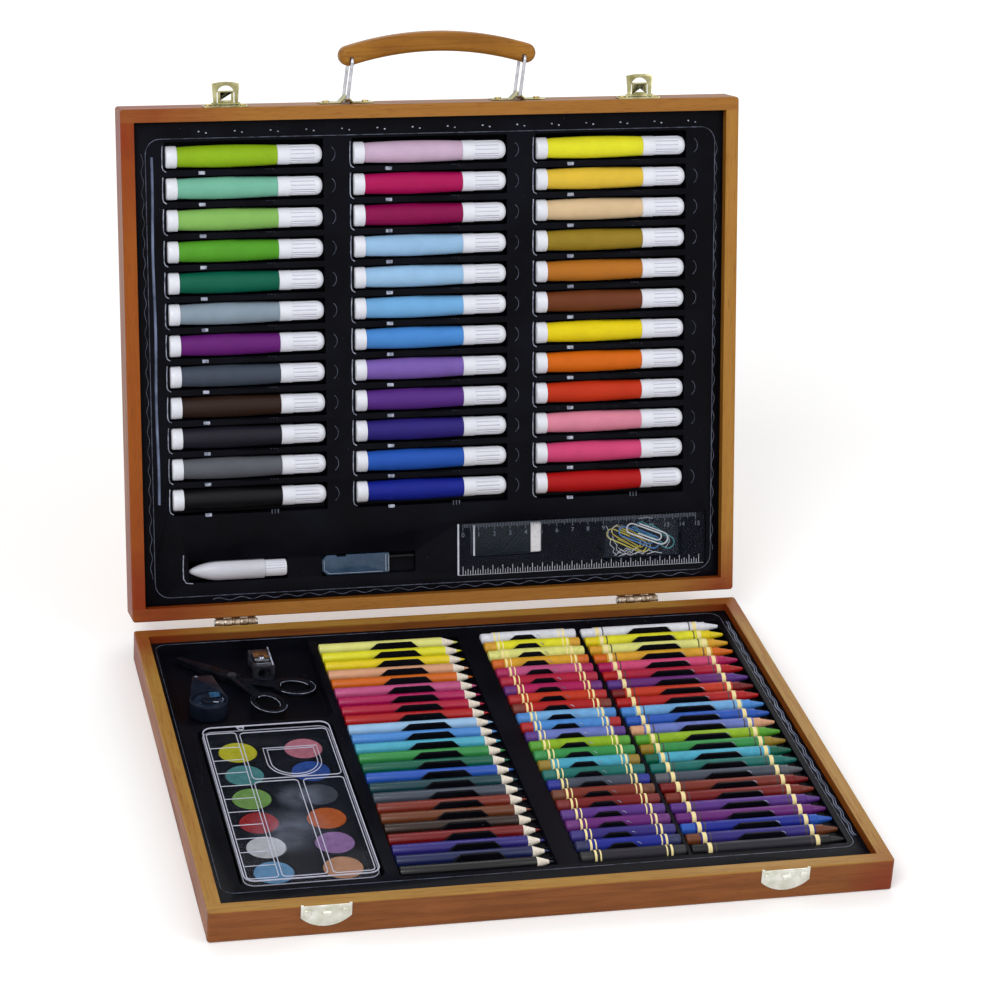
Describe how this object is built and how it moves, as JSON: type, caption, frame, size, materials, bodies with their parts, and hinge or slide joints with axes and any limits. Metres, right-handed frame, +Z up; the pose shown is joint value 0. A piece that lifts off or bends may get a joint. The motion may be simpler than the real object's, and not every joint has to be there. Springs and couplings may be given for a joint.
{
  "type": "art set case",
  "caption": "Hinged wooden carrying case, open, with formed trays of markers, pencils, pastels, crayons, paints and small tools.",
  "frame": {"origin": "centre of the underside of the base", "axes": "+Z up, +X to the right seen from the front, -Y the front with the latches"},
  "size_m": [0.38, 0.4261, 0.3596],
  "materials": {
    "case_wood": null,
    "panel_wood": null,
    "tray_black": null,
    "screw_brass": null,
    "hardware_plate": null,
    "steel_pin": null,
    "grip_wood": null,
    "pencil_paint": null,
    "pencil_wood": null,
    "pencil_core": null,
    "pastel_stick": null,
    "pastel_paper": null,
    "crayon_stick": null,
    "crayon_paper": null,
    "palette_plastic": null,
    "clear_plastic": null,
    "paint_cake": null,
    "scissors_plastic": null,
    "small_steel": null,
    "sharpener_metal": null,
    "dispenser_plastic": null,
    "tape_film": null,
    "marker_white": null,
    "marker_barrel": null,
    "brush_plastic": null,
    "brush_core": null,
    "eraser_rubber": null,
    "eraser_sleeve": null
  },
  "bodies": {
    "base": {"base_front_rail": "case_wood", "base_back_rail": "case_wood", "base_left_rail": "case_wood", "base_right_rail": "case_wood", "base_panel": "panel_wood", "base_tray": "tray_black", "base_screws": "screw_brass", "keepers": "hardware_plate", "hinge_left_base_leaf": "hardware_plate", "hinge_right_base_leaf": "hardware_plate", "hinge_pins": "steel_pin"},
    "lid": {"lid_front_rail": "case_wood", "lid_back_rail": "case_wood", "lid_left_rail": "case_wood", "lid_right_rail": "case_wood", "lid_panel": "panel_wood", "lid_tray": "tray_black", "lid_screws": "screw_brass", "hinge_left_lid_leaf": "hardware_plate", "hinge_right_lid_leaf": "hardware_plate", "handle_brackets": "hardware_plate", "latch_plates": "hardware_plate"},
    "left_loop": {"latch_left_loop": "hardware_plate"},
    "right_loop": {"latch_right_loop": "hardware_plate"},
    "left_lever": {"latch_left_lever": "hardware_plate"},
    "right_lever": {"latch_right_lever": "hardware_plate"},
    "left_ring": {"handle_ring_left": "steel_pin"},
    "right_ring": {"handle_ring_right": "steel_pin"},
    "grip": {"handle_grip": "grip_wood"},
    "pencils": {"pencil_barrels": "pencil_paint", "pencil_cones": "pencil_wood", "pencil_leads": "pencil_core"},
    "pastels": {"pastel_sticks": "pastel_stick", "pastel_wrappers": "pastel_paper"},
    "crayons": {"crayon_sticks": "crayon_stick", "crayon_wrappers": "crayon_paper"},
    "palette": {"palette_base": "palette_plastic", "paint_pans": "paint_cake"},
    "palette_lid": {"palette_cover": "clear_plastic"},
    "scissors": {"scissors_lower": "scissors_plastic", "scissors_rivet": "small_steel"},
    "scissors_arm": {"scissors_upper": "scissors_plastic"},
    "sharpener": {"sharpener_body": "sharpener_metal", "sharpener_blade": "small_steel", "sharpener_screw": "small_steel"},
    "dispenser": {"tape_dispenser": "dispenser_plastic"},
    "tape": {"tape_roll": "tape_film"},
    "markers": {"marker_plugs": "marker_white", "marker_barrels": "marker_barrel", "marker_caps": "marker_white"},
    "pen": {"pen_body": "marker_white", "pen_cap": "marker_white"},
    "brush": {"brush_handle": "brush_plastic", "brush_rod": "brush_core"},
    "ruler_set": {"ruler": "clear_plastic", "eraser": "eraser_rubber", "eraser_sleeve": "eraser_sleeve", "clip_bag": "clear_plastic", "paper_clips": "small_steel"}
  },
  "joints": [
    {"name": "lid_hinge", "type": "hinge", "parent": "base", "child": "lid", "pos_m": [0, 0.158, 0.0192], "axis": [-1, 0, 0], "range_deg": [-105, 0]},
    {"name": "left_loop_swing", "type": "hinge", "parent": "lid", "child": "left_loop", "pos_m": [-0.127, 0.24172, 0.32277], "axis": [-1, 0, 0], "range_deg": [-90, 60]},
    {"name": "left_lever_swing", "type": "hinge", "parent": "lid", "child": "left_lever", "pos_m": [-0.127, 0.24172, 0.32277], "axis": [1, 0, 0], "range_deg": [-80, 80]},
    {"name": "right_loop_swing", "type": "hinge", "parent": "lid", "child": "right_loop", "pos_m": [0.127, 0.24172, 0.32277], "axis": [-1, 0, 0], "range_deg": [-90, 60]},
    {"name": "right_lever_swing", "type": "hinge", "parent": "lid", "child": "right_lever", "pos_m": [0.127, 0.24172, 0.32277], "axis": [1, 0, 0], "range_deg": [-80, 80]},
    {"name": "handle_swing", "type": "hinge", "parent": "lid", "child": "left_ring", "pos_m": [-0.053, 0.2522, 0.31976], "axis": [0, -0.9659, 0.2588], "range_deg": [-60, 76]},
    {"name": "handle_swing_right", "type": "hinge", "parent": "lid", "child": "right_ring", "pos_m": [0.053, 0.2522, 0.31976], "axis": [0, -0.9659, 0.2588], "range_deg": [-60, 76]},
    {"name": "handle_grip_level", "type": "hinge", "parent": "left_ring", "child": "grip", "pos_m": [-0.04952, 0.25861, 0.34367], "axis": [0, -0.9659, 0.2588], "range_deg": [-76, 60]},
    {"name": "pencils_lift", "type": "slide", "parent": "base", "child": "pencils", "axis": [0, 0, 1], "range_m": [0, 0.02]},
    {"name": "pastels_lift", "type": "slide", "parent": "base", "child": "pastels", "axis": [0, 0, 1], "range_m": [0, 0.02]},
    {"name": "crayons_lift", "type": "slide", "parent": "base", "child": "crayons", "axis": [0, 0, 1], "range_m": [0, 0.02]},
    {"name": "palette_lift", "type": "slide", "parent": "base", "child": "palette", "axis": [0, 0, 1], "range_m": [0, 0.025]},
    {"name": "palette_lid_lift", "type": "slide", "parent": "palette", "child": "palette_lid", "axis": [0, 0, 1], "range_m": [0, 0.012]},
    {"name": "scissors_lift", "type": "slide", "parent": "base", "child": "scissors", "axis": [0, 0, 1], "range_m": [0, 0.02]},
    {"name": "scissors_open", "type": "hinge", "parent": "scissors", "child": "scissors_arm", "pos_m": [-0.137, 0.107, 0.009], "axis": [0, 0, -1], "range_deg": [0, 14]},
    {"name": "sharpener_lift", "type": "slide", "parent": "base", "child": "sharpener", "axis": [0, 0, 1], "range_m": [0, 0.02]},
    {"name": "dispenser_lift", "type": "slide", "parent": "base", "child": "dispenser", "axis": [0, 0, 1], "range_m": [0, 0.02]},
    {"name": "tape_spin", "type": "hinge", "parent": "dispenser", "child": "tape", "pos_m": [-0.156, 0.073, 0.011], "axis": [0, 0, 1], "continuous": true},
    {"name": "markers_lift", "type": "slide", "parent": "lid", "child": "markers", "axis": [0, -0.9659, 0.2588], "range_m": [0, 0.018]},
    {"name": "pen_lift", "type": "slide", "parent": "lid", "child": "pen", "axis": [0, -0.9659, 0.2588], "range_m": [0, 0.018]},
    {"name": "brush_lift", "type": "slide", "parent": "lid", "child": "brush", "axis": [0, -0.9659, 0.2588], "range_m": [0, 0.018]},
    {"name": "ruler_set_lift", "type": "slide", "parent": "lid", "child": "ruler_set", "axis": [0, -0.9659, 0.2588], "range_m": [0, 0.018]}
  ],
  "couplings": [
    {"joint": "handle_swing_right", "follows": "handle_swing", "ratio": 1},
    {"joint": "handle_grip_level", "follows": "handle_swing", "ratio": -1}
  ]
}
